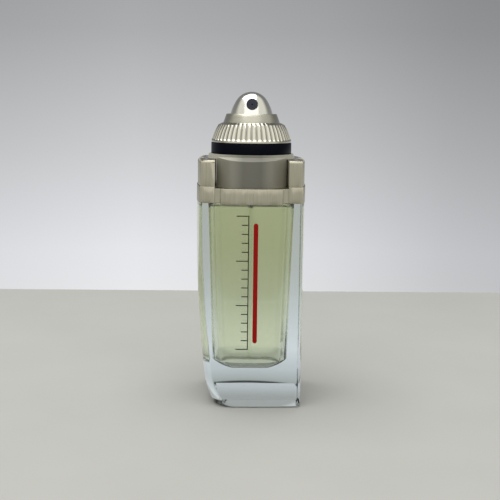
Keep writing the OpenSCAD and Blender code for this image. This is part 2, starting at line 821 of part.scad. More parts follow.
// Centre of the button's wall arc: it passes through the foot and is tangent to the rounded tip
tip_h = button_h - button_tip_r;
tip_k = tip_h / button_r;
tip_m = (2 * button_wall_r * button_tip_r - button_tip_r ^ 2 + tip_h ^ 2 + button_r ^ 2) / (2 * button_r);
tip_a = 1 + tip_k ^ 2;
tip_b = tip_k * tip_m;
wall_h = (tip_b - sqrt(tip_b ^ 2 - tip_a * (tip_m ^ 2 - button_wall_r ^ 2))) / tip_a;
wall_c = tip_m - tip_k * wall_h - button_r;
wall_n = [wall_c, tip_h - wall_h] / (button_wall_r - button_tip_r);

// Bullet shape of the button above the cone ring, set in by t
module bullet(t) {
    blend = tip_h + (button_tip_r - t) * wall_n[1];
    rotate_extrude() {
        intersection() {
            translate([-wall_c, wall_h]) circle(button_wall_r - t, $fn = arc_fn);
            square([button_r, blend]);
        }
        intersection() {
            translate([0, tip_h]) circle(button_tip_r - t, $fn = 180);
            translate([0, blend]) square([button_r, button_h]);
        }
    }
}

// A round bar that points to the front at the height of the spray opening
module spray_bar(r, from, to) {
    translate([0, -from, button_z + spray_h])
        rotate([90, 0, 0])
        cylinder(r = r, h = to - from);
}

module spray_button() {
    color([0.83, 0.82, 0.76])
    difference() {
        union() {
            translate([0, 0, button_z]) bullet(0);
            translate([0, 0, button_z - skirt_l]) cylinder(r = button_r, h = skirt_l + eps);
        }
        inner_form();
        spray_bar(spray_r, button_r / 3, button_r + cut);
    }
}

// The hollow inside the button shell
module inner_form() {
    translate([0, 0, button_z]) bullet(button_t);
    translate([0, 0, button_z - skirt_l - cut])
        cylinder(r = button_r - button_t, h = skirt_l + cut + eps);
}

module actuator_core() {
    foot_z = stem_z - stem_grip;
    top_z = button_z + spray_h + spray_r + core_rise;
    color([0.80, 0.81, 0.80])
    difference() {
        intersection() {
            inner_form();
            translate([0, 0, foot_z]) cylinder(r = button_r - button_t, h = top_z - foot_z);
        }
        cylinder(r = stem_r, h = stem_z);
        cylinder(r = stem_bore_r, h = button_z + spray_h);
        spray_bar(stem_bore_r, 0, nozzle_face);
        spray_bar(nozzle_r - nozzle_step, nozzle_face - nozzle_l, nozzle_face);
        spray_bar(nozzle_r, nozzle_face - nozzle_head_l, button_r + cut);
    }
}

module nozzle_insert() {
    color([0.07, 0.09, 0.16])
    difference() {
        union() {
            spray_bar(nozzle_r - nozzle_step, nozzle_face - nozzle_l, nozzle_face - nozzle_head_l / 2);
            spray_bar(nozzle_r, nozzle_face - nozzle_head_l, nozzle_face);
        }
        spray_bar(orifice_r, 0, button_r + cut);
        spray_bar(dish_r, nozzle_face - dish_depth, button_r + cut);
    }
}

module pump_stem() {
    color([0.92, 0.92, 0.90])
    difference() {
        translate([0, 0, piston_z + piston_floor])
            cylinder(r = stem_r, h = stem_z - piston_z - piston_floor);
        translate([0, 0, piston_z + piston_l]) cylinder(r = stem_bore_r, h = big);
        translate([-stem_r - cut, 0, piston_z + piston_l + 2 * inlet_r])
            rotate([0, 90, 0])
            cylinder(r = inlet_r, h = 2 * (stem_r + cut));
    }
}

module pump_piston() {
    color([0.86, 0.88, 0.86])
    translate([0, 0, piston_z]) difference() {
        cylinder(r = cylinder_r - running_gap, h = piston_l);
        translate([0, 0, piston_floor]) cylinder(r = stem_r, h = piston_l);
    }
}

// Lays a flat mark, drawn in X and Z, on the front face of the glass
module ink() {
    intersection() {
        translate([0, face_r - body_half_d, 0]) difference() {
            cylinder(r = face_r + ink_t, h = glass_h, $fn = ink_fn);
            translate([0, 0, -cut]) cylinder(r = face_r, h = glass_h + 2 * cut, $fn = ink_fn);
        }
        translate([0, -body_half_d + face_wall, 0])
            rotate([90, 0, 0])
            linear_extrude(2 * face_wall)
            children();
    }
}

// A plain graduated rule with a long mark at the start of each group of steps
module printed_scale() {
    color([0.07, 0.07, 0.07])
    ink() {
        translate([-rule_x - rule_w, scale_z]) square([rule_w, scale_step * scale_steps + rule_w]);
        for (i = [0 : scale_steps]) {
            mark = i % scale_group == 0 ? mark_long : mark_short;
            translate([-rule_x - rule_w - mark, scale_z + i * scale_step])
                square([mark + rule_w / 2, rule_w]);
        }
    }
}

module printed_bar() {
    bar_low = scale_z + scale_step;
    bar_high = scale_z + scale_step * (scale_steps - 1);
    color([0.78, 0.09, 0.13])
    ink() {
        for (z = [bar_low, bar_high])
            translate([bar_x - rule_x, z]) circle(d = bar_w, $fn = 32);
        translate([bar_x - rule_x - bar_w / 2, bar_low]) square([bar_w, bar_high - bar_low]);
    }
}

glass_bottle();
fragrance_fill();
trim_band();
cheek_left();
cheek_right();
cheek_dowels();
collar();
lacquered_ring();
inner_carrier();
crimp_ferrule();
neck_gasket();
pump_housing();
pump_closure();
check_ball();
dip_tube();
pump_spring();
retaining_ring();
crown_liner();
fluted_crown();
cone_ring();
spray_button();
actuator_core();
nozzle_insert();
pump_stem();
pump_piston();
printed_scale();
printed_bar();
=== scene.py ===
"""A clear glass aftershave flacon with a satin metal frame, a twist crown and a press-down spray button."""

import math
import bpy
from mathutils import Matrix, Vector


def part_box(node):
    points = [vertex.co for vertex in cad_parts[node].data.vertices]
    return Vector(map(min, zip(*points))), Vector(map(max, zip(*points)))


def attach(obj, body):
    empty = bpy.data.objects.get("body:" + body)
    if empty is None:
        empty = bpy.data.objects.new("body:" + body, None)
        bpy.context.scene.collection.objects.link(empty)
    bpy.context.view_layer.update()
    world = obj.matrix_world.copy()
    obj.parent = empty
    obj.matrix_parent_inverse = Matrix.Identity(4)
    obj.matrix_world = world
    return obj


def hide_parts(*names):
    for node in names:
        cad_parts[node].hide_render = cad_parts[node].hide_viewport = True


bl_info = {
    "name": "Aftershave Flacon",
    "version": (1, 0, 0),
    "blender": (4, 5, 0),
    "location": "View3D > Sidebar > Flacon",
    "description": "Dresses the packed bottle in glass, liquid, metal and ink, and sets it on a pale table",
    "category": "Add Mesh",
}

import bpy
from bpy.props import FloatProperty, FloatVectorProperty, IntProperty, PointerProperty
from mathutils import Matrix, Vector

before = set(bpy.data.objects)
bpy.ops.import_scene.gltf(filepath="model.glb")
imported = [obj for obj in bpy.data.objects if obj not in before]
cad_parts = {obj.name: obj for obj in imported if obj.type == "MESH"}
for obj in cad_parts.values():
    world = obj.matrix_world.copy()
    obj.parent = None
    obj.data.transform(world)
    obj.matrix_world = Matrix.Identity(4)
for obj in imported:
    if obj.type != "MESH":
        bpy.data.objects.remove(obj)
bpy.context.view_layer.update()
MM = 0.001


def linear(code):
    """A linear colour from an sRGB hex code such as "#C8C2B4"."""
    channels = [int(code[i : i + 2], 16) / 255 for i in (1, 3, 5)]
    return [c / 12.92 if c <= 0.04045 else ((c + 0.055) / 1.055) ** 2.4 for c in channels]


def rgba(value):
    """A linear colour with full alpha, as the colour sockets take it."""
    return (*value, 1.0)


def cad_size(name):
    """Lowest and highest corner of a solid of the frame, in millimetres."""
    low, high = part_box(name)
    return [c / MM for c in low], [c / MM for c in high]


GLASS_HIGH = cad_size("glass_bottle")[1]
FILL_LOW, FILL_HIGH = cad_size("fragrance_fill")
CROWN_LOW, CROWN_HIGH = cad_size("fluted_crown")


# ---------------------------------------------------------------- settings


def length(name, text, value):
    """A length property whose default is given in millimetres."""
    return FloatProperty(name=name, description=text, default=value * MM, unit="LENGTH", precision=5)


def colour(name, text, code):
    """A colour property whose default is an sRGB hex code."""
    return FloatVectorProperty(
        name=name, description=text, default=linear(code), subtype="COLOR", min=0, max=1
    )


def factor(name, text, value, top=1.0):
    """A plain number from 0 to its top."""
    return FloatProperty(name=name, description=text, default=value, min=0, max=top)


def angle(name, text, degrees):
    """An angle property whose default is given in degrees."""
    return FloatProperty(
        name=name, description=text, default=math.radians(degrees), unit="ROTATION"
    )


class FLACON_PG_glass(bpy.types.PropertyGroup):
    """Sizes and tints of the glass body and the liquid in it"""

    body_h: length("Body height", "Height of the glass up to the metal band", 92.8)
    flank_r: length("Flank radius", "Radius of the bowed left and right flanks", 122)
    face_r: length("Face radius", "Radius of the nearly flat front and back faces", 300)
    edge_r: length("Upright edge", "Radius of the upright edges of the body", 1.1)
    foot_r: length("Foot edge", "Radius round the bottom edge", 0.9)
    corner_r: length("Leaning corner", "Radius of the front left corner at the table", 10.5)
    lean_turn: angle("Lean turn", "Turn of the leaning flank about the upright axis", 1)
    lean_start: length("Lean start", "Distance outside the flank at which the lean starts", 0.15)
    lean_long_r: length("Lean long radius", "Radius of the long curve of the leaning flank", 800)
    lean_base_r: length("Lean base radius", "Radius of the tighter curve by the base", 38)
    lean_base_h: length("Lean base height", "Height where the tighter curve takes over", 15)
    chamber_r: length("Chamber corner", "Radius of the upright corners of the chamber", 9)
    chamber_floor_r: length("Chamber floor edge", "Radius round the chamber's floor", 4.5)
    floor_bow_r: length("Chamber floor bow", "Radius of the floor, bowed from left to right", 42)
    chamber_flare: length("Chamber flare", "How much wider the roof is than the floor", 2.4)
    chamber_top_r: length("Chamber roof edge", "Radius round the chamber's roof", 4)
    chamber_roof: length("Chamber roof", "Gap between the chamber and the shoulder's top", 3.1)
    hollow_h: length("Hollow height", "Height of the hollow in the underside", 3.1)
    hollow_in: length("Hollow rim", "Width of the rim round the hollow", 1.4)
    shoulder_in: length("Shoulder step", "Step from the body in to the shoulder", 1.5)
    shoulder_h: length("Shoulder height", "Height of the shoulder above the body", 4.8)
    neck_r: length("Neck radius", "Radius of the neck", 7)
    bead_r: length("Bead radius", "Radius of the crimping bead round the neck", 7.6)
    bead_h: length("Bead height", "Height of the crimping bead", 3.4)
    bore_r: length("Neck bore", "Radius of the bore through the neck", 4.9)
    wetting: length("Wetting", "Depth of the liquid's skin in the glass, so no air shows", 0.06)
    glass_tint: colour("Glass tint", "Tint of the polished glass", "#F9FAFB")
    # Painted shade: the skin high up is tinted darker and yellower than low down.
    liquid_shaded_tint: colour("Liquid tint", "Tint of the liquid's skin high up", "#F3F4D6")
    liquid_low: colour("Low liquid tint", "Tint of the liquid's skin low down", "#FCFDF4")
    liquid_depth: colour("Liquid depth", "Colour that the liquid turns to with depth", "#ECEA88")
    liquid_density: factor("Liquid density", "Absorption of the liquid, per metre", 14, 200)


class FLACON_PG_metal(bpy.types.PropertyGroup):
    """Sizes and colours of the metal pieces"""

    frame_tone: colour("Frame tone", "Satin nickel of the band and cheeks", "#A19D8C")
    collar_tone: colour("Collar tone", "Matt nickel of the collar", "#8A887C")
    crown_tone: colour("Crown tone", "Bright nickel of the crown", "#B8B5A8")
    cone_tone: colour("Cone tone", "Satin nickel of the cone ring", "#ABA99B")
    button_tone: colour("Button tone", "Bright nickel of the button", "#DCDAD0")
    lacquer_tone: colour("Lacquer tone", "Blue-black lacquer of the ring", "#060A14")
    grain: length("Brushed grain", "Width of one brushed line", 0.4)
    edge: length("Broken edge", "Width of the broken edges of the metal", 0.15)
    flute_count: IntProperty(name="Flutes", description="Number of flutes", default=50)
    flute_lead: angle("Flute lead", "Turn of the ribs away from the front", 1.3)
    flute_r: length("Flute radius", "Radius of each flute of the crown", 1.5)
    flute_foot: length("Flute foot depth", "Depth of each flute at its rounded foot", 0.62)
    flute_head: length("Flute head depth", "Depth of each flute under the top bevel", 0.3)
    flute_start: length("Flute start", "Height of the centre of each rounded foot", 2.1)
    crown_rim: length("Crown rim", "Height of the plain rim at the crown's foot", 0.8)
    crown_head_r: length("Crown head", "Radius where the wall meets the top bevel", 15)
    crown_top_r: length("Crown top", "Radius of the top inside its bevel", 13.3)
    crown_bevel: length("Crown bevel", "Height of the top bevel", 0.9)
    crown_wall_r: length("Crown wall bow", "Radius of the bowed wall in side view", 28)
    crown_bore_r: length("Crown bore", "Radius of the hole in the crown's top", 11.1)
    crown_wall: length("Crown wall", "Thickness of the crown's wall", 1.4)


class FLACON_PG_stage(bpy.types.PropertyGroup):
    """Camera, table and light"""

    camera_far: length("Camera distance", "Level distance from the axis to the camera", 437.1)
    camera_high: length("Camera height", "Height of the camera above the table", 135.7)
    camera_turn: angle("Camera turn", "How far the camera stands left of the front", 1.325)
    camera_pitch: angle("Camera pitch", "How far the camera looks down", 8.71)
    camera_roll: angle("Camera roll", "Turn of the camera about its line of sight", 0.70)
    focal: FloatProperty(name="Focal length", description="Lens in millimetres", default=68.42)
    table_half: length("Table half width", "Distance of the table's edges from the axis", 250)
    table_tone: colour("Table tone", "Pale table", "#BCBCB6")
    softbox: factor("Softbox", "Power of the large softbox, in watts", 7, 1000)
    window: factor("Window", "Power of the soft window light in front, in watts", 6, 1000)
    room: factor("Room light", "Strength of the room's own light", 0.4, 10)
    front_tone: colour("Front tone", "Light tent in front, as the metal mirrors it", "#F4F4F0")
    side_tone: colour("Side tone", "Room beside the bottle, as the metal mirrors it", "#B0B0A4")


# ---------------------------------------------------------------- mesh helpers


def add_piece(name, verts, faces, body=None, sharp=35):
    """A mesh object from points in millimetres, which rides on a body of the frame.

    Edges between faces that turn by more than sharp degrees stay sharp, and the rest is smooth.
    """
    mesh = bpy.data.meshes.new(name)
    mesh.from_pydata([(x * MM, y * MM, z * MM) for x, y, z in verts], [], faces)
    mesh.update()
    obj = bpy.data.objects.new(name, mesh)
    bpy.context.scene.collection.objects.link(obj)
    mesh.shade_smooth()
    mesh.set_sharp_from_angle(angle=math.radians(sharp))
    if body:
        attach(obj, body)
    return obj


def loft(rings, closed=False):
    """Points and faces of a skin through rings of equal length, either closed on itself or capped."""
    count = len(rings[0])
    verts = [p for ring in rings for p in ring]
    faces = []
    for i in range(len(rings) if closed else len(rings) - 1):
        a, b = i * count, ((i + 1) % len(rings)) * count
        for j in range(count):
            k = (j + 1) % count
            faces.append((a + j, a + k, b + k, b + j))
    if not closed:
        faces.append(tuple(range(count - 1, -1, -1)))
        faces.append(tuple(range((len(rings) - 1) * count, len(rings) * count)))
    return verts, faces


def quarter(radius, steps):
    """(along, inset) pairs round a quarter fillet, from its flat end to its wall."""
    pairs = []
    for i in range(steps + 1):
        a = math.pi / 2 * i / steps
        pairs.append((radius * (1 - math.cos(a)), radius * (1 - math.sin(a))))
    return pairs


def heading(turn):
    """Unit vector of a turn in degrees."""
    return Vector((math.cos(math.radians(turn)), math.sin(math.radians(turn))))


# ---------------------------------------------------------------- sections of the glass

# Half spread in degrees and number of columns of the right, back, left and front side.
SIDE_COLUMNS = ((12, 40), (5, 34), (12, 40), (5, 34))
CORNER_COLUMNS = 28
# Anything smaller than this, in millimetres, counts as nothing.
TINY = 1e-9


def outline_turns():
    """Directions of the outline's columns: close on the bowed sides, then round the corners."""
    turns = []
    for side, (spread, count) in enumerate(SIDE_COLUMNS):
        gap = 90 - spread - SIDE_COLUMNS[side - 1][0]
        turns += [90 * side - spread + 2 * spread * i / count for i in range(count)]
        turns += [90 * side + spread + gap * i / CORNER_COLUMNS for i in range(CORNER_COLUMNS)]
    return sorted(t % 360 for t in turns)


TURNS = outline_turns()


def meet(a, b):
    """Where two sides of a section meet.

    A bowed side is (centre, radius, False) and a flat one is (normal, reach, True).
    """
    if a[2] and b[2]:
        cross = a[0].x * b[0].y - a[0].y * b[0].x
        if abs(cross) < TINY:
            return []
        x = (a[1] * b[0].y - b[1] * a[0].y) / cross
        y = (a[0].x * b[1] - b[0].x * a[1]) / cross
        return [Vector((x, y))]
    if a[2]:
        a, b = b, a
    centre, radius = a[0], a[1]
    if b[2]:
        gap = b[1] - b[0].dot(centre)
        if abs(gap) > radius:
            return []
        foot = centre + b[0] * gap
        off = Vector((-b[0].y, b[0].x)) * math.sqrt(radius**2 - gap**2)
        return [foot + off, foot - off]
    step = b[0] - centre
    span = step.length
    if span < TINY or span > radius + b[1] or span < abs(radius - b[1]):
        return []
    along = (span**2 + radius**2 - b[1] ** 2) / (2 * span)
    foot = centre + step * along / span
    off = Vector((-step.y, step.x)) / span * math.sqrt(max(radius**2 - along**2, 0))
    return [foot + off, foot - off]


def inside(p, sides, slack=1e-4):
    """Whether a point lies inside every side of a section, give or take the slack in millimetres."""
    for where, reach, flat in sides:
        far = where.dot(p) if flat else (p - where).length
        if far > reach + slack:
            return False
    return True


def outline(sides, edge_r, height):
    """A convex section with rounded corners, with one point for each column."""
    core = [(where, reach - edge_r, flat) for where, reach, flat in sides]
    corners = []
    for i, a in enumerate(core):
        for b in core[i + 1 :]:
            corners += [p for p in meet(a, b) if inside(p, core)]
    ring = []
    for turn in TURNS:
        u = heading(turn)
        choices = list(corners)
        for where, reach, flat in core:
            if not flat and inside(where + u * reach, core):
                choices.append(where + u * reach)
        p = max(choices, key=u.dot) + u * edge_r
        ring.append((p.x, p.y, height))
    return ring


def round_ring(radius, height):
    """A round ring with one point for each column."""
    return [(*(radius * heading(t)), height) for t in TURNS]


class Flacon:
    """Sections of the glass, in millimetres, worked out from the settings and the frame."""

    # Flat cuts that make up the round front left corner.
    CORNER_SIDES = 16
    # Smallest radii that the upright edges keep where a section is set in.
    LEAST_EDGE_R = 0.4
    LEAST_CORNER_R = 0.3

    def __init__(self, glass):
        self.half_w, self.half_d = GLASS_HIGH[0], GLASS_HIGH[1]
        self.top = glass.body_h / MM
        self.flank_r, self.face_r = glass.flank_r / MM, glass.face_r / MM
        self.edge_r = glass.edge_r / MM
        self.flare, self.chamber_r = glass.chamber_flare / MM, glass.chamber_r / MM
        self.turn = glass.lean_turn

        # The leaning flank in side view: a long curve down from the top, then a tighter one.
        self.long_r, self.base_r = glass.lean_long_r / MM, glass.lean_base_r / MM
        self.base_h = glass.lean_base_h / MM
        bow = self.flank_r - self.half_w
        self.start = self.flank_r - bow * math.cos(self.turn) + glass.lean_start / MM
        slope = math.asin((self.top - self.base_h) / self.long_r)
        joint = self.start - self.long_r * (1 - math.cos(slope))
        self.base_x = joint - self.base_r * math.cos(slope)
        self.base_z = self.base_h + self.base_r * math.sin(slope)

        # The leaning corner is a cone round this point. It touches the front and the leaning flank.
        corner_r = glass.corner_r / MM
        self.corner_gap = self.reach(0) - corner_r
        y = corner_r - self.half_d
        x = -(self.corner_gap + y * math.sin(self.turn)) / math.cos(self.turn)
        self.corner = Vector((x, y))

    def reach(self, height):
        """Distance from the axis to the leaning flank at a height."""
        if height >= self.base_h:
            return self.start - self.long_r + math.sqrt(self.long_r**2 - (self.top - height) ** 2)
        return self.base_x + math.sqrt(self.base_r**2 - (self.base_z - height) ** 2)

    def section(self, height, inset=0):
        """Outline of the glass at a height, set in all round."""
        bow_x, bow_y = self.flank_r - self.half_w, self.face_r - self.half_d
        sides = [
            (Vector((bow_x, 0)), self.flank_r - inset, False),
            (Vector((-bow_x, 0)), self.flank_r - inset, False),
            (Vector((0, bow_y)), self.face_r - inset, False),
            (Vector((0, -bow_y)), self.face_r - inset, False),
        ]
        corner_r = self.reach(min(height, self.top)) - self.corner_gap - inset
        first = 180 + math.degrees(self.turn)
        for i in range(self.CORNER_SIDES):
            u = heading(first + (270 - first) * i / self.CORNER_SIDES)
            sides.append((u, self.corner.dot(u) + corner_r, True))
        return outline(sides, max(self.edge_r - inset / 3, self.LEAST_EDGE_R), height)

    def chamber(self, height, inset=0, grow=0):
        """Outline of the chamber at a height, set in or grown all round. Its flanks flare upwards."""
        rise = (height - FILL_LOW[2]) / (FILL_HIGH[2] - FILL_LOW[2]) - 0.5
        flared, half_d = FILL_HIGH[0] + grow + self.flare * rise, FILL_HIGH[1] + grow
        reaches = (flared, half_d, flared, half_d)
        sides = [(heading(90 * i), reaches[i] - inset, True) for i in range(4)]
        return outline(sides, max(self.chamber_r + grow - inset, self.LEAST_CORNER_R), height)


def outer_rings(glass, flacon):
    """Rings round the outside of the glass, from the hollow in its underside up to the neck's rim."""
    # Millimetres that the hollow's wall slopes in, and rings on each stretch.
    hollow_slope, edge_rings, base_rings, flank_rings = 0.5, 8, 14, 26
    foot_r, base_h, top = glass.foot_r / MM, flacon.base_h, flacon.top
    hollow_in, hollow_h = glass.hollow_in / MM, glass.hollow_h / MM
    hollow = flacon.section(0, hollow_in + hollow_slope)
    rings = [[(x, y, hollow_h) for x, y, _ in hollow], flacon.section(0, hollow_in)]
    rings += [flacon.section(along, inset) for along, inset in quarter(foot_r, edge_rings)]
    for i in range(1, base_rings + 1):
        rings.append(flacon.section(foot_r + (base_h - foot_r) * i / base_rings))
    for i in range(1, flank_rings + 1):
        rings.append(flacon.section(base_h + (top - base_h) * i / flank_rings))

    step, shoulder_z = glass.shoulder_in / MM, top + glass.shoulder_h / MM
    rings += [flacon.section(top, step), flacon.section(shoulder_z, step)]
    neck_r, bead_r, bore_r = glass.neck_r / MM, glass.bead_r / MM, glass.bore_r / MM
    neck_z = GLASS_HIGH[2]
    bead_z = neck_z - glass.bead_h / MM
    rings += [round_ring(neck_r, shoulder_z), round_ring(neck_r, bead_z)]
    rings += [round_ring(bead_r, bead_z), round_ring(bead_r, neck_z)]
    rings.append(round_ring(bore_r, neck_z))
    return rings


def roof_rings(glass, flacon):
    """Rings from the foot of the neck's bore out over the chamber's roof and down to its wall."""
    edge_rings = 8
    roof_z = flacon.top + glass.shoulder_h / MM - glass.chamber_roof / MM
    rings = [round_ring(glass.bore_r / MM, roof_z)]
    for along, inset in quarter(glass.chamber_top_r / MM, edge_rings):
        rings.append(flacon.chamber(roof_z - along, inset))
    return rings


def floor_rings(glass, flacon, grow=0):
    """Rings of the chamber from its bowl-shaped floor up to its wall, grown outwards by a little."""
    # Shares of the floor's outline at which its inner rings lie, and rings round its edge.
    shares, edge_rings = (0.02, 0.25, 0.5, 0.75), 12
    low, floor_r = FILL_LOW[2] - grow, glass.chamber_floor_r / MM + grow
    edge = flacon.chamber(low, floor_r, grow)
    rings = [[(x * share, y * share, z) for x, y, z in edge] for share in shares]
    for along, inset in quarter(floor_r, edge_rings):
        rings.append(flacon.chamber(low + along, inset, grow))

    # The bow from left to right fades out over the height of the rounded edge.
    bow_r = glass.floor_bow_r / MM
    for ring in rings:
        for i, (x, y, z) in enumerate(ring):
            bowl = bow_r - math.sqrt(bow_r**2 - x * x)
            fade = max(1 - (z - low) / floor_r, 0)
            ring[i] = (x, y, z + bowl * fade)
    return rings


# ---------------------------------------------------------------- sections of the crown


class Crown:
    """Sections of the fluted crown, in millimetres, worked out from the settings and the frame."""

    COLUMNS_PER_FLUTE = 14
    # Rings on the rounded foot of the flutes and on the wall above it.
    FOOT_RINGS, WALL_RINGS = 12, 16
    # Broken edges at the foot and at the top of the rim.
    FOOT_EDGE, RIM_EDGE = 0.15, 0.1
    # How far the roof inside lies below the bevel's foot.
    ROOF_DROP = 0.2

    def __init__(self, metal):
        self.base_z = CROWN_LOW[2]
        self.high = CROWN_HIGH[2] - self.base_z
        self.foot_r, self.head_r = CROWN_HIGH[0], metal.crown_head_r / MM
        self.top_r, self.bore_r = metal.crown_top_r / MM, metal.crown_bore_r / MM
        self.rim, self.head_z = metal.crown_rim / MM, self.high - metal.crown_bevel / MM
        self.wall = metal.crown_wall / MM
        self.flutes, self.lead = metal.flute_count, metal.flute_lead
        self.cut_r, self.start = metal.flute_r / MM, metal.flute_start / MM
        self.deep, self.shallow = metal.flute_foot / MM, metal.flute_head / MM

        # The centre of the wall's bow in side view, as far as its radius from the foot and the head.
        self.wall_r = metal.crown_wall_r / MM
        chord = Vector((self.head_r - self.foot_r, self.head_z - self.rim))
        middle = Vector(((self.head_r + self.foot_r) / 2, (self.head_z + self.rim) / 2))
        out = Vector((chord.y, -chord.x)).normalized()
        self.centre = middle - out * math.sqrt(self.wall_r**2 - chord.length_squared / 4)

    def plain(self, z):
        """Radius of the bowed wall before it is fluted, at a height above the crown's foot."""
        return self.centre.x + math.sqrt(self.wall_r**2 - (z - self.centre.y) ** 2)

    def fluted(self, z, off):
        """Radius of the fluted wall at a height and an angle from the middle of a flute.

        Each flute is cut by an upright rod with a ball end, and less deep towards the top.
        """
        share = max(z - self.start, 0) / (self.head_z - self.start)
        depth = self.deep + (self.shallow - self.deep) * share
        cutter = math.sqrt(max(self.cut_r**2 - max(self.start - z, 0) ** 2, 0))
        axis = self.plain(max(z, self.rim)) - depth + self.cut_r
        across = axis * math.sin(off)
        if abs(across) >= cutter:
            return self.plain(z)
        return min(self.plain(z), axis * math.cos(off) - math.sqrt(cutter**2 - across**2))

    def ring(self, z, radius=None):
        """Points round the crown at a height: a plain circle, or the fluted wall without a radius."""
        columns = self.flutes * self.COLUMNS_PER_FLUTE
        points = []
        for i in range(columns):
            place = i % self.COLUMNS_PER_FLUTE / self.COLUMNS_PER_FLUTE
            off = (place - 0.5) * 2 * math.pi / self.flutes
            a = 2 * math.pi * (i / columns - 0.5 / self.flutes) - self.lead
            reach = radius or self.fluted(z, off)
            points.append((reach * math.cos(a), reach * math.sin(a), self.base_z + z))
        return points

    def rings(self):
        """Rings from the foot up the fluted wall, over the top and back down inside."""
        rings = [self.ring(0, self.foot_r - self.FOOT_EDGE), self.ring(self.FOOT_EDGE, self.foot_r)]
        rings += [self.ring(self.rim - self.RIM_EDGE, self.foot_r)]
        rings += [self.ring(self.rim, self.plain(self.rim))]
        for i in range(1, self.FOOT_RINGS + 1):
            rings.append(self.ring(self.rim + (self.start - self.rim) * (i / self.FOOT_RINGS)))
        for i in range(1, self.WALL_RINGS + 1):
            rings.append(self.ring(self.start + (self.head_z - self.start) * i / self.WALL_RINGS))
        roof_z = self.head_z - self.ROOF_DROP
        rings += [self.ring(self.high, self.top_r), self.ring(self.high, self.bore_r)]
        rings += [self.ring(roof_z, self.bore_r), self.ring(roof_z, self.head_r - self.wall)]
        rings += [self.ring(0, self.foot_r - self.wall)]
        return rings


# ---------------------------------------------------------------- material helpers


def add_node(tree, kind, inputs=None, stops=(), **settings):
    """Adds a node with its settings; each input is a value or the output that feeds it.

    Stops are the places and sRGB hex codes of a colour ramp.
    """
    made = tree.nodes.new(kind)
    for key, value in settings.items():
        setattr(made, key, value)
    for key, value in (inputs or {}).items():
        if isinstance(value, bpy.types.NodeSocket):
            tree.links.new(value, made.inputs[key])
        else:
            made.inputs[key].default_value = value
    if stops:
        elements = made.color_ramp.elements
        while len(elements) < len(stops):
            elements.new(0.5)  # Every stop gets its own place below.
        for element, (where, code) in zip(elements, stops):
            element.position = where
            element.color = rgba(linear(code))
    return made


def new_material(name):
    """An empty material and its node tree."""
    made = bpy.data.materials.new(name)
    made.use_nodes = True
    made.node_tree.nodes.clear()
    return made, made.node_tree


def paint(name, made):
    """Gives a solid of the frame its material."""
    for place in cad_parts[name].material_slots:
        place.material = made


def break_edges(name, width):
    """Rounds the edges of a metal solid of the frame."""
    weld_gap, flat_within, edge_from = 0.001 * MM, math.radians(0.2), math.radians(25)
    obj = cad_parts[name]
    weld = obj.modifiers.new("Weld", "WELD")
    weld.merge_threshold = weld_gap
    flat = obj.modifiers.new("Flat faces", "DECIMATE")
    flat.decimate_type = "DISSOLVE"
    flat.angle_limit = flat_within
    bevel = obj.modifiers.new("Broken edges", "BEVEL")
    bevel.width = width
    bevel.segments = 3
    bevel.limit_method = "ANGLE"
    bevel.angle_limit = edge_from
    bevel.use_clamp_overlap = False
    bevel.harden_normals = True


# ---------------------------------------------------------------- materials


def polished_glass(glass, inner=False):
    """Clear soda-lime glass, fire polished: sharp reflections and a slightly cool edge.

    The chamber's own wall is wet, so it hardly reflects.
    """
    made, tree = new_material("Chamber wall glass" if inner else "Polished flint glass")
    shader = add_node(
        tree,
        "ShaderNodeBsdfPrincipled",
        {
            "Base Color": rgba(glass.glass_tint),
            "Roughness": 0.0,
            "IOR": 1.5,
            "Transmission Weight": 1.0,
            "Specular IOR Level": 0.1 if inner else 0.5,
        },
    )
    add_node(tree, "ShaderNodeOutputMaterial", {"Surface": shader.outputs[0]})
    return made


def aftershave_liquid(glass):
    """Alcohol with a yellow-green dye: clear, and deeper in colour where it is thick. Its skin carries
    painted shade: it is tinted darker and yellower high up.
    """
    # Shares of the body's height between which the painted shade deepens.
    shade_starts, shade_full = 0.4, 0.8
    made, tree = new_material("Aftershave liquid")
    place = add_node(tree, "ShaderNodeTexCoord").outputs["Object"]
    part = add_node(tree, "ShaderNodeSeparateXYZ", {0: place})
    rise = add_node(
        tree,
        "ShaderNodeMapRange",
        {
            "Value": part.outputs["Z"],
            "From Min": shade_starts * glass.body_h,
            "From Max": shade_full * glass.body_h,
        },
    )
    # Painted shade: the tint of the skin darkens from low down to high up.
    tint = add_node(
        tree,
        "ShaderNodeMix",
        {"Factor": rise.outputs[0], "A": rgba(glass.liquid_low), "B": rgba(glass.liquid_shaded_tint)},
        data_type="RGBA",
    )
    shader = add_node(
        tree,
        "ShaderNodeBsdfPrincipled",
        {
            "Base Color": tint.outputs[2],
            "Roughness": 0.0,
            "IOR": 1.36,
            "Transmission Weight": 1.0,
            "Specular IOR Level": 0.1,
        },
    )
    depth = add_node(
        tree,
        "ShaderNodeVolumeAbsorption",
        {"Color": rgba(glass.liquid_depth), "Density": glass.liquid_density},
    )
    ends = {"Surface": shader.outputs[0], "Volume": depth.outputs[0]}
    add_node(tree, "ShaderNodeOutputMaterial", ends)
    return made


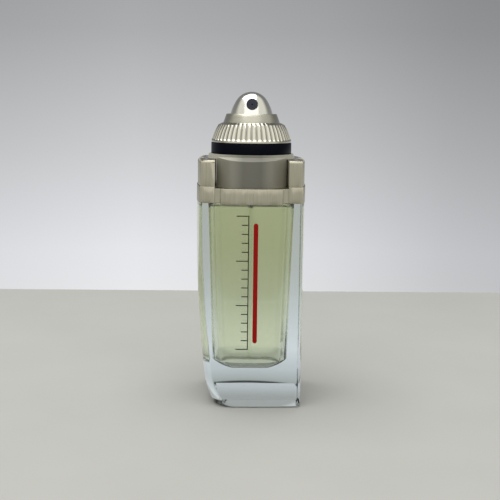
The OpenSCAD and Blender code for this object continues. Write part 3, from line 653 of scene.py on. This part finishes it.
def brushed_nickel(name, tone, grain):
    """Nickel-plated zinc, brushed upright: soft streaks that spread each reflection sideways.

    Real lines are about 0.05 mm wide. They are drawn as coarse as the grain, so that they show.
    """
    # A line is 1 / stretch times as long as it is wide. Strength is how far it changes the tone.
    stretch, strength = 0.03, 0.16
    smoothest, roughest = 0.26, 0.4
    made, tree = new_material(name)
    place = add_node(tree, "ShaderNodeTexCoord").outputs["Object"]
    lines = add_node(
        tree,
        "ShaderNodeVectorMath",
        {0: place, 1: (1 / grain, 1 / grain, stretch / grain)},
        operation="MULTIPLY",
    )
    streaks = add_node(
        tree, "ShaderNodeTexNoise", {"Vector": lines.outputs[0], "Scale": 1.0, "Detail": 3.0}
    )
    gloss = add_node(
        tree,
        "ShaderNodeMapRange",
        {
            "Value": streaks.outputs["Fac"],
            "From Min": 0.3,
            "From Max": 0.7,
            "To Min": smoothest,
            "To Max": roughest,
        },
    )
    shade = add_node(
        tree,
        "ShaderNodeMapRange",
        {
            "Value": streaks.outputs["Fac"],
            "From Min": 0.25,
            "From Max": 0.75,
            "To Min": 1 - strength,
            "To Max": 1 + strength,
        },
    )
    tinted = add_node(
        tree, "ShaderNodeVectorMath", {0: tuple(tone), 1: shade.outputs[0]}, operation="MULTIPLY"
    )
    relief = add_node(
        tree,
        "ShaderNodeBump",
        {"Height": streaks.outputs["Fac"], "Strength": 0.04, "Distance": 0.02 * MM},
    )
    around = add_node(tree, "ShaderNodeTangent", direction_type="RADIAL", axis="Z")
    shader = add_node(
        tree,
        "ShaderNodeBsdfPrincipled",
        {
            "Base Color": tinted.outputs[0],
            "Metallic": 1.0,
            "Roughness": gloss.outputs[0],
            "Anisotropic": 0.9,
            "Tangent": around.outputs[0],
            "Normal": relief.outputs[0],
        },
    )
    add_node(tree, "ShaderNodeOutputMaterial", {"Surface": shader.outputs[0]})
    return made


def matt_collar_with_painted_light(tone):
    """Matt lacquer over nickel: soft, blurred reflections.

    The tone is painted darker over the middle of the front and the back, a painted reflection, and paler
    towards both sides, painted light that fills the shade the cheeks throw there.
    """
    # Distances to either side at which the painted tone is darkest and palest.
    middle, side = 4 * MM, 17 * MM
    made, tree = new_material("Matt lacquered nickel collar")
    place = add_node(tree, "ShaderNodeTexCoord").outputs["Object"]
    part = add_node(tree, "ShaderNodeSeparateXYZ", {0: place})
    across = add_node(tree, "ShaderNodeMath", {0: part.outputs["X"]}, operation="ABSOLUTE")
    # Painted light and reflection: the tone runs from darker in the middle to paler at the sides.
    shade = add_node(
        tree,
        "ShaderNodeMapRange",
        {
            "Value": across.outputs[0],
            "From Min": middle,
            "From Max": side,
            "To Min": 0.55,
            "To Max": 2.0,
        },
    )
    tinted = add_node(
        tree, "ShaderNodeVectorMath", {0: tuple(tone), 1: shade.outputs[0]}, operation="MULTIPLY"
    )
    shader = add_node(
        tree,
        "ShaderNodeBsdfPrincipled",
        {"Base Color": tinted.outputs[0], "Metallic": 0.35, "Roughness": 0.45},
    )
    add_node(tree, "ShaderNodeOutputMaterial", {"Surface": shader.outputs[0]})
    return made


def blue_black_lacquer(tone):
    """Stove lacquer under clear varnish: a deep colour with one sharp reflection on top."""
    # Width of one wave of the varnish.
    wave = 1.5 * MM
    made, tree = new_material("Blue-black lacquer")
    place = add_node(tree, "ShaderNodeTexCoord").outputs["Object"]
    peel = add_node(tree, "ShaderNodeTexNoise", {"Vector": place, "Scale": 1 / wave, "Detail": 1.0})
    relief = add_node(
        tree,
        "ShaderNodeBump",
        {"Height": peel.outputs["Fac"], "Strength": 0.05, "Distance": 0.03 * MM},
    )
    shader = add_node(
        tree,
        "ShaderNodeBsdfPrincipled",
        {
            "Base Color": rgba(tone),
            "Roughness": 0.4,
            "Specular IOR Level": 0.03,
            "Coat Weight": 0.03,
            "Coat Roughness": 0.06,
            "Normal": relief.outputs[0],
            "Coat Normal": relief.outputs[0],
        },
    )
    add_node(tree, "ShaderNodeOutputMaterial", {"Surface": shader.outputs[0]})
    return made


def mottled(name, tone, roughness, inputs=None, mottle=0.06, patch=0.8 * MM, span=(0.0, 1.0)):
    """A moulded, drawn, blasted or printed finish: one colour, and a gloss that varies in patches.

    Mottle is how far the roughness goes up and down over the span of the noise. The patches are wider
    than real ones, so that they show.
    """
    smoothest = max(roughness - mottle, 0.02)
    made, tree = new_material(name)
    place = add_node(tree, "ShaderNodeTexCoord").outputs["Object"]
    speckle = add_node(
        tree, "ShaderNodeTexNoise", {"Vector": place, "Scale": 1 / patch, "Detail": 2.0}
    )
    gloss = add_node(
        tree,
        "ShaderNodeMapRange",
        {
            "Value": speckle.outputs["Fac"],
            "From Min": span[0],
            "From Max": span[1],
            "To Min": smoothest,
            "To Max": roughness + mottle,
        },
    )
    inputs = {"Base Color": rgba(tone), "Roughness": gloss.outputs[0], **(inputs or {})}
    shader = add_node(tree, "ShaderNodeBsdfPrincipled", inputs)
    add_node(tree, "ShaderNodeOutputMaterial", {"Surface": shader.outputs[0]})
    return made


def blasted_nickel(name, tone, roughness):
    """Nickel plate over a bead-blasted base: bright, with reflections a little or a lot blurred.

    Real blasting leaves dents of about 0.1 mm. They are drawn 0.25 mm wide, so that they show.
    """
    dent, span = 0.25 * MM, (0.3, 0.7)
    return mottled(name, tone, roughness, {"Metallic": 1.0}, mottle=0.03, patch=dent, span=span)


def bare_metal(name, code, roughness):
    """Steel or aluminium without a coat, as it was drawn, ground or polished: a cool, blurred shine."""
    return mottled(name, linear(code), roughness, {"Metallic": 1.0})


def moulded(name, code, roughness):
    """Plastic or rubber as it leaves its mould: an even colour under a soft, colourless sheen."""
    return mottled(name, linear(code), roughness)


def clear_fluoropolymer():
    """Extruded clear fluoropolymer: almost lost in the liquid, because its IOR is the ratio to that."""
    clear = {"Transmission Weight": 1.0, "IOR": 0.995}
    return mottled("Extruded clear fluoropolymer", linear("#FBFCF8"), 0.02, clear, mottle=0)


def screen_ink(name, code):
    """Screen ink, printed and baked: a dense colour that hardly shines."""
    return mottled(name, linear(code), 0.5, {"Specular IOR Level": 0.1})


# What a ray that has come through glass sees of the table, from the axis out to the table's edge: a painted
# sweep of light that glows in its place, darker under the foot, with a painted dark ring of the foot's
# contact shadow.
PAINTED_SWEEP = (
    (0.09, "#9FA5A3"),
    (0.1, "#BCC4C4"),
    (0.127, "#BCC4C4"),
    (0.132, "#181E17"),
    (0.142, "#2A3129"),
    (0.149, "#9EA6A4"),
    (0.18, "#ABB3B3"),
    (0.24, "#BCC5C7"),
    (0.4, "#D2DADC"),
    (1.0, "#B8C0BF"),
)


def pale_table(tone, half):
    """Ground and sealed concrete: matt and pale, with faint clouds.

    Rays that have come through glass see a sweep of light in its place.
    """
    cloud = 60 * MM
    made, tree = new_material("Sealed pale concrete")
    place = add_node(tree, "ShaderNodeTexCoord").outputs["Object"]
    clouds = add_node(
        tree, "ShaderNodeTexNoise", {"Vector": place, "Scale": 1 / cloud, "Detail": 4.0}
    )
    shade = add_node(
        tree,
        "ShaderNodeMapRange",
        {"Value": clouds.outputs["Fac"], "To Min": 0.95, "To Max": 1.05},
    )
    tinted = add_node(
        tree, "ShaderNodeVectorMath", {0: tuple(tone), 1: shade.outputs[0]}, operation="MULTIPLY"
    )
    shader = add_node(
        tree,
        "ShaderNodeBsdfPrincipled",
        {"Base Color": tinted.outputs[0], "Roughness": 0.7, "Specular IOR Level": 0.2},
    )
    spread = add_node(tree, "ShaderNodeVectorMath", {0: place}, operation="LENGTH")
    near = add_node(tree, "ShaderNodeMapRange", {"Value": spread.outputs["Value"], "From Max": half})
    sweep = add_node(tree, "ShaderNodeValToRGB", {0: near.outputs[0]}, stops=PAINTED_SWEEP)
    glow = add_node(tree, "ShaderNodeEmission", {"Color": sweep.outputs[0], "Strength": 1.0})
    ray = add_node(tree, "ShaderNodeLightPath")
    both = add_node(
        tree,
        "ShaderNodeMixShader",
        {0: ray.outputs["Is Transmission Ray"], 1: shader.outputs[0], 2: glow.outputs[0]},
    )
    add_node(tree, "ShaderNodeOutputMaterial", {"Surface": both.outputs[0]})
    return made


# ---------------------------------------------------------------- room, lamps and camera

# Rise of the line of sight, as its Z part, at the two ends of the wall's ramps.
WALL_FOOT, WALL_HEAD = -0.2, 0.8

# The wall that the camera sees, from its foot upwards: brightest low down.
WALL = (
    (0.0, "#E9EAEC"),
    (0.05, "#E6E7EB"),
    (0.153, "#CCCDCF"),
    (0.275, "#ACADAF"),
    (0.45, "#8E8F92"),
    (1.0, "#7A7B7E"),
)

# How the wall falls off all the way round: straight behind the bottle is the middle, the left comes
# before it and the right after it, and the ends meet in front.
FALL = (
    (0.0, "#CECECE"),
    (0.42, "#E7E7E7"),
    (0.463, "#F4F4F4"),
    (0.484, "#FFFFFF"),
    (0.5, "#F9F9F9"),
    (0.516, "#F1F1F1"),
    (0.537, "#D9D9D9"),
    (0.58, "#C0C0C0"),
    (1.0, "#CECECE"),
)

# The wall that a ray sees after it has come through glass, from its foot upwards.
THROUGH = (
    (0.0, "#B8C0BF"),
    (0.03, "#AEB5B1"),
    (0.09, "#A9B0AA"),
    (0.3, "#B4BBBA"),
    (0.49, "#BAC2C5"),
    (0.499, "#9CA2A0"),
    (0.7, "#8E9496"),
    (1.0, "#6A7072"),
)


def faded_wall(tree, part, wall):
    """The wall as the camera sees it: it falls off with the turn about the upright axis."""
    side = add_node(
        tree, "ShaderNodeMath", {0: part.outputs["X"], 1: part.outputs["Y"]}, operation="ARCTAN2"
    )
    spread = add_node(
        tree,
        "ShaderNodeMapRange",
        {"Value": side.outputs[0], "From Min": -math.pi, "From Max": math.pi},
    )
    fall = add_node(tree, "ShaderNodeValToRGB", {0: spread.outputs[0]}, stops=FALL)
    shown = add_node(
        tree, "ShaderNodeVectorMath", {0: wall, 1: fall.outputs[0]}, operation="MULTIPLY"
    )
    return shown.outputs[0]


def mirrored_room(tree, place, part, wall, stage):
    """The room as metal mirrors it: a light tent up in front, a dimmer room beside, the wall behind."""
    tent_aim = (0, -0.82, 0.57)
    ahead = add_node(tree, "ShaderNodeVectorMath", {0: place, 1: tent_aim}, operation="DOT_PRODUCT")
    tent = add_node(
        tree,
        "ShaderNodeMapRange",
        {"Value": ahead.outputs["Value"], "From Min": 0.0, "From Max": 0.3},
    )
    behind = add_node(
        tree,
        "ShaderNodeMapRange",
        {"Value": part.outputs["Y"], "From Min": -0.1, "From Max": 0.5},
    )
    rear = add_node(
        tree,
        "ShaderNodeMix",
        {"Factor": behind.outputs[0], "A": rgba(stage.side_tone), "B": wall},
        data_type="RGBA",
    )
    mirrored = add_node(
        tree,
        "ShaderNodeMix",
        {"Factor": tent.outputs[0], "A": rear.outputs[2], "B": rgba(stage.front_tone)},
        data_type="RGBA",
    )
    return mirrored.outputs[2]


def add_room(scene, stage):
    """The world: an even light, and a room that camera, metal and glass each see in their own way."""
    made = bpy.data.worlds.new("Studio room")
    made.use_nodes = True
    tree = made.node_tree
    tree.nodes.clear()
    place = add_node(tree, "ShaderNodeTexCoord").outputs["Generated"]
    part = add_node(tree, "ShaderNodeSeparateXYZ", {0: place})
    rise = add_node(
        tree,
        "ShaderNodeMapRange",
        {"Value": part.outputs["Z"], "From Min": WALL_FOOT, "From Max": WALL_HEAD},
    )
    wall, through = [
        add_node(tree, "ShaderNodeValToRGB", {0: rise.outputs[0]}, stops=stops).outputs[0]
        for stops in (WALL, THROUGH)
    ]
    ray = add_node(tree, "ShaderNodeLightPath")
    white = rgba(linear("#FFFFFF"))
    both = add_node(tree, "ShaderNodeBackground", {"Color": white, "Strength": stage.room})
    for kind, seen in (
        ("Is Camera Ray", faded_wall(tree, part, wall)),
        ("Is Glossy Ray", mirrored_room(tree, place, part, wall, stage)),
        ("Is Transmission Ray", through),
    ):
        look = add_node(tree, "ShaderNodeBackground", {"Color": seen, "Strength": 1.0})
        both = add_node(
            tree,
            "ShaderNodeMixShader",
            {0: ray.outputs[kind], 1: both.outputs[0], 2: look.outputs[0]},
        )
    add_node(tree, "ShaderNodeOutputWorld", {"Surface": both.outputs[0]})
    scene.world = made


def add_lamps(scene, stage):
    """A softbox overhead and a window in front, both aimed at the bottle's middle, in metres."""
    target = Vector((0, 0, 0.08))
    for name, place, size, power in (
        ("overhead_softbox", Vector((-0.12, -0.02, 0.95)), (0.9, 0.9), stage.softbox),
        ("front_window", Vector((-0.05, -1.1, 0.85)), (1.9, 1.6), stage.window),
    ):
        data = bpy.data.lights.new(name, "AREA")
        data.shape = "RECTANGLE"
        data.size, data.size_y = size
        data.energy = power
        lamp = bpy.data.objects.new(name, data)
        scene.collection.objects.link(lamp)
        lamp.location = place
        lamp.rotation_euler = (target - place).to_track_quat("-Z", "Y").to_euler()
        # Hidden from rays that come through glass, so that it doesn't stand there as a white patch.
        lamp.visible_transmission = False


def add_camera(scene, stage):
    """A camera in front of the bottle, a little to its left, that looks down on it."""
    data = bpy.data.cameras.new("camera")
    data.lens = stage.focal
    data.sensor_width = 36
    data.clip_start = 0.01
    eye = bpy.data.objects.new("camera", data)
    scene.collection.objects.link(eye)
    turn, pitch, roll = stage.camera_turn, stage.camera_pitch, stage.camera_roll
    ahead = Vector((math.sin(turn), math.cos(turn), 0))
    right = Vector((math.cos(turn), -math.sin(turn), 0))
    sight = ahead * math.cos(pitch) - Vector((0, 0, 1)) * math.sin(pitch)
    up = right.cross(sight)
    rolled_right = right * math.cos(roll) + up * math.sin(roll)
    rolled_up = up * math.cos(roll) - right * math.sin(roll)
    axes = Matrix((rolled_right, rolled_up, -sight)).transposed()
    spot = -ahead * stage.camera_far + Vector((0, 0, stage.camera_high))
    eye.matrix_world = Matrix.Translation(spot) @ axes.to_4x4()
    scene.camera = eye


# ---------------------------------------------------------------- operators


class FLACON_OT_glass(bpy.types.Operator):
    """Build the thick clear glass body with its chamber and neck"""

    bl_idname = "flacon.glass"
    bl_label = "Glass Body"

    def execute(self, context):
        glass = context.scene.flacon_glass
        flacon = Flacon(glass)
        outer = outer_rings(glass, flacon)
        floor = floor_rings(glass, flacon)
        verts, faces = loft(outer + roof_rings(glass, flacon) + floor[::-1])
        obj = add_piece("glass_body", verts, faces, "bottle", sharp=32)
        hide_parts("glass_bottle")
        obj.data.materials.append(polished_glass(glass))
        obj.data.materials.append(polished_glass(glass, inner=True))
        # The skin from the rim of the neck's bore inwards is the chamber's own wall.
        first_inner = (len(outer) - 1) * len(TURNS)
        for face in obj.data.polygons:
            if min(face.vertices) >= first_inner:
                face.material_index = 1
        return {"FINISHED"}


class FLACON_OT_liquid(bpy.types.Operator):
    """Fill the chamber with the yellow-green liquid"""

    bl_idname = "flacon.liquid"
    bl_label = "Aftershave Liquid"

    def execute(self, context):
        glass = context.scene.flacon_glass
        flacon, wetting = Flacon(glass), glass.wetting / MM
        surface = flacon.chamber(FILL_HIGH[2], grow=wetting)
        verts, faces = loft([*floor_rings(glass, flacon, wetting), surface])
        obj = add_piece("fragrance_liquid", verts, faces, "bottle")
        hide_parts("fragrance_fill")
        obj.data.materials.append(aftershave_liquid(glass))
        return {"FINISHED"}


class FLACON_OT_crown(bpy.types.Operator):
    """Turn the crown with its rounded flutes"""

    bl_idname = "flacon.crown"
    bl_label = "Fluted Crown"

    def execute(self, context):
        metal = context.scene.flacon_metal
        verts, faces = loft(Crown(metal).rings(), closed=True)
        obj = add_piece("crown_shell", verts, faces, "crown", sharp=28)
        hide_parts("fluted_crown")
        obj.data.materials.append(blasted_nickel("Bright nickel crown", metal.crown_tone, 0.1))
        return {"FINISHED"}


class FLACON_OT_metalwork(bpy.types.Operator):
    """Finish the band, the cheeks and their pins, the collar, the rings and the button"""

    bl_idname = "flacon.metalwork"
    bl_label = "Metalwork"

    def execute(self, context):
        metal = context.scene.flacon_metal
        satin = brushed_nickel("Brushed nickel frame", metal.frame_tone, metal.grain)
        for name in ("trim_band", "cheek_left", "cheek_right"):
            paint(name, satin)
            break_edges(name, metal.edge)
        # The collar's tone carries painted light: darker in the middle, paler at both sides.
        paint("collar", matt_collar_with_painted_light(metal.collar_tone))
        paint("lacquered_ring", blue_black_lacquer(metal.lacquer_tone))
        break_edges("lacquered_ring", metal.edge)
        paint("cone_ring", blasted_nickel("Satin nickel cone", metal.cone_tone, 0.34))
        break_edges("cone_ring", metal.edge / 2)
        paint("spray_button", blasted_nickel("Bright nickel button", metal.button_tone, 0.16))
        paint("cheek_dowels", bare_metal("Ground steel pins", "#B8B8B4", 0.25))
        return {"FINISHED"}


class FLACON_OT_pump(bpy.types.Operator):
    """Finish the spray pump, the carrier and the nozzle"""

    bl_idname = "flacon.pump"
    bl_label = "Spray Pump"

    def execute(self, context):
        white = moulded("Moulded white polypropylene", "#E2E2DC", 0.4)
        steel = bare_metal("Polished spring steel", "#C4C6C6", 0.18)
        for made, names in (
            (white, ("inner_carrier", "crown_liner", "actuator_core", "pump_closure")),
            (white, ("pump_stem", "pump_piston")),
            (clear_fluoropolymer(), ("dip_tube", "pump_housing")),
            (bare_metal("Drawn aluminium", "#D0D0CC", 0.3), ("crimp_ferrule",)),
            (moulded("Black rubber", "#181818", 0.7), ("neck_gasket",)),
            (steel, ("check_ball", "pump_spring", "retaining_ring")),
            (moulded("Moulded navy acetal", "#10172C", 0.3), ("nozzle_insert",)),
        ):
            for name in names:
                paint(name, made)
        return {"FINISHED"}


class FLACON_OT_prints(bpy.types.Operator):
    """Give the scale and the bar their screen-printed ink"""

    bl_idname = "flacon.prints"
    bl_label = "Printed Scale"

    def execute(self, context):
        paint("printed_scale", screen_ink("Black screen ink", "#0C0D0E"))
        paint("printed_bar", screen_ink("Red screen ink", "#98120E"))
        return {"FINISHED"}


class FLACON_OT_stage(bpy.types.Operator):
    """Set the pale table, the soft light and the camera"""

    bl_idname = "flacon.stage"
    bl_label = "Stage"

    def execute(self, context):
        stage = context.scene.flacon_stage
        # The table lies this far, in millimetres, under the foot, so that no faces coincide.
        gap = 0.02
        half = stage.table_half / MM
        verts = [(x * half, y * half, -gap) for x, y in ((-1, -1), (1, -1), (1, 1), (-1, 1))]
        table = add_piece("table", verts, [(0, 1, 2, 3)])
        table.data.materials.append(pale_table(stage.table_tone, stage.table_half))
        add_lamps(context.scene, stage)
        add_room(context.scene, stage)
        add_camera(context.scene, stage)
        context.scene.view_settings.view_transform = "Standard"
        return {"FINISHED"}


# ---------------------------------------------------------------- panel and main


STEPS = (
    FLACON_OT_glass,
    FLACON_OT_liquid,
    FLACON_OT_crown,
    FLACON_OT_metalwork,
    FLACON_OT_pump,
    FLACON_OT_prints,
    FLACON_OT_stage,
)

GROUPS = (
    ("flacon_glass", FLACON_PG_glass),
    ("flacon_metal", FLACON_PG_metal),
    ("flacon_stage", FLACON_PG_stage),
)


class FLACON_PT_panel(bpy.types.Panel):
    """Buttons and settings of the flacon"""

    bl_label = "Aftershave Flacon"
    bl_idname = "FLACON_PT_panel"
    bl_space_type = "VIEW_3D"
    bl_region_type = "UI"
    bl_category = "Flacon"

    def draw(self, context):
        for step in STEPS:
            self.layout.operator(step.bl_idname)
        for group, kind in GROUPS:
            column = self.layout.column(align=True)
            for name in kind.__annotations__:
                column.prop(getattr(context.scene, group), name)


def register():
    """Adds the settings, the operators and the panel."""
    for name, group in GROUPS:
        bpy.utils.register_class(group)
        setattr(bpy.types.Scene, name, PointerProperty(type=group))
    for step in STEPS:
        bpy.utils.register_class(step)
    bpy.utils.register_class(FLACON_PT_panel)


def unregister():
    """Takes the panel, the operators and the settings away again."""
    bpy.utils.unregister_class(FLACON_PT_panel)
    for step in reversed(STEPS):
        bpy.utils.unregister_class(step)
    for name, group in reversed(GROUPS):
        delattr(bpy.types.Scene, name)
        bpy.utils.unregister_class(group)


def main():
    """Builds the flacon on its stage."""
    register()
    bpy.ops.flacon.glass()
    bpy.ops.flacon.liquid()
    bpy.ops.flacon.crown()
    bpy.ops.flacon.metalwork()
    bpy.ops.flacon.pump()
    bpy.ops.flacon.prints()
    bpy.ops.flacon.stage()


if __name__ == "__main__":
    main()
